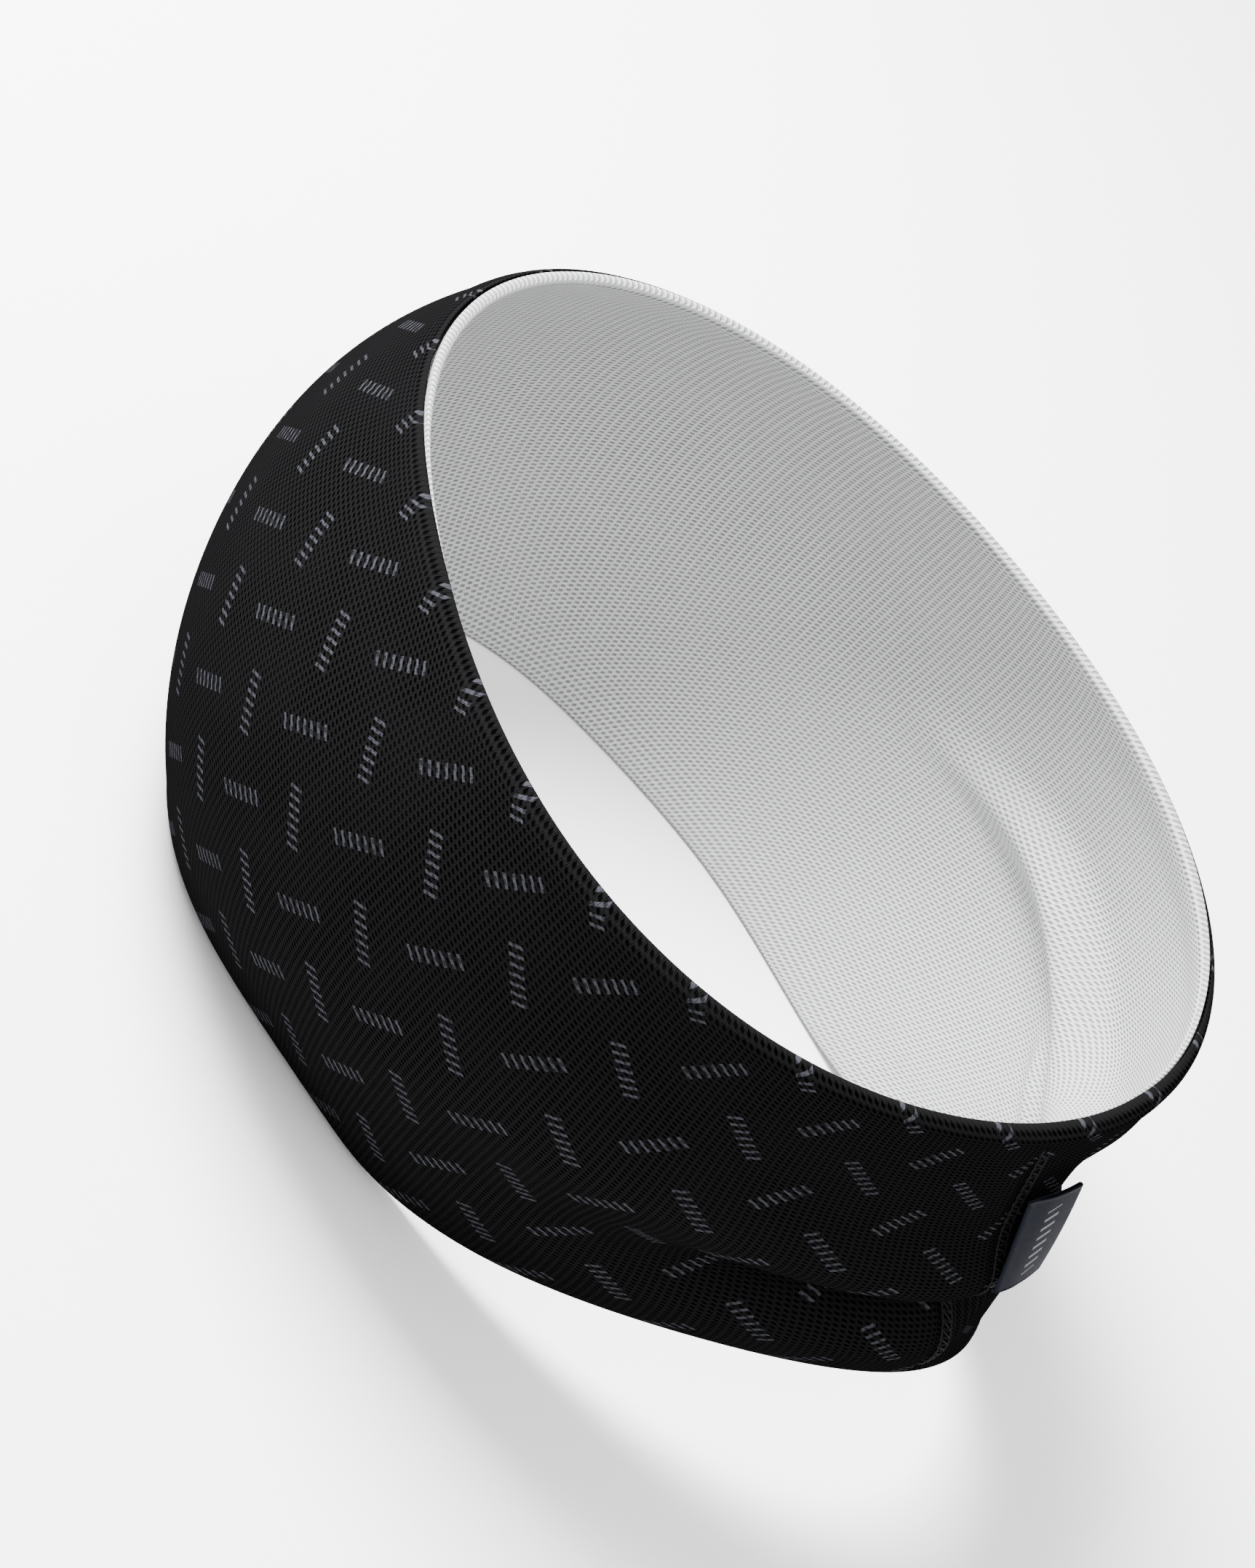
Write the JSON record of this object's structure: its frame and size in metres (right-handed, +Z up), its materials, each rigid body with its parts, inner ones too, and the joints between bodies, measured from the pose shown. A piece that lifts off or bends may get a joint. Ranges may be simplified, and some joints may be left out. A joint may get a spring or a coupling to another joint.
{
  "type": "sports headband",
  "caption": "Wide stretch sports headband: a dark knit ring with a light knit lining, gathered by one fold at its back seam, with a folded loop label.",
  "frame": {"origin": "under the middle of the band's bounding box, on the surface that its lower rim stands on", "axes": "+Z up, from the lower rim to the upper rim; +X towards the wearer's left; +Y towards the back of the head, where the seam is; -Y towards the forehead"},
  "size_m": [0.1922, 0.2158, 0.091],
  "materials": {
    "outer_knit": "matte near-black jersey knit with a grey hatch print",
    "lining_knit": "matte light grey ribbed knit",
    "seam_thread": "polyester thread and seam allowance",
    "overlock_thread": "satin black overlock thread",
    "lining_thread": "light grey thread",
    "label_ribbon": "fine woven satin ribbon, blue-black"
  },
  "bodies": {
    "band": {"outer_shell": "outer_knit", "lining": "lining_knit", "upper_rim_seam": "seam_thread", "lower_rim_seam": "seam_thread", "back_seam_overlock": "overlock_thread", "lining_back_seam": "lining_thread"},
    "label": {"loop_label": "label_ribbon"}
  },
  "joints": [
    {"name": "label_flap", "type": "hinge", "parent": "band", "child": "label", "pos_m": [-0.00278, 0.1032, 0.0691], "axis": [-0.2198, 0.3653, -0.9045], "range_deg": [0, 150], "stiffness_Nm_per_rad": 0.0005}
  ]
}
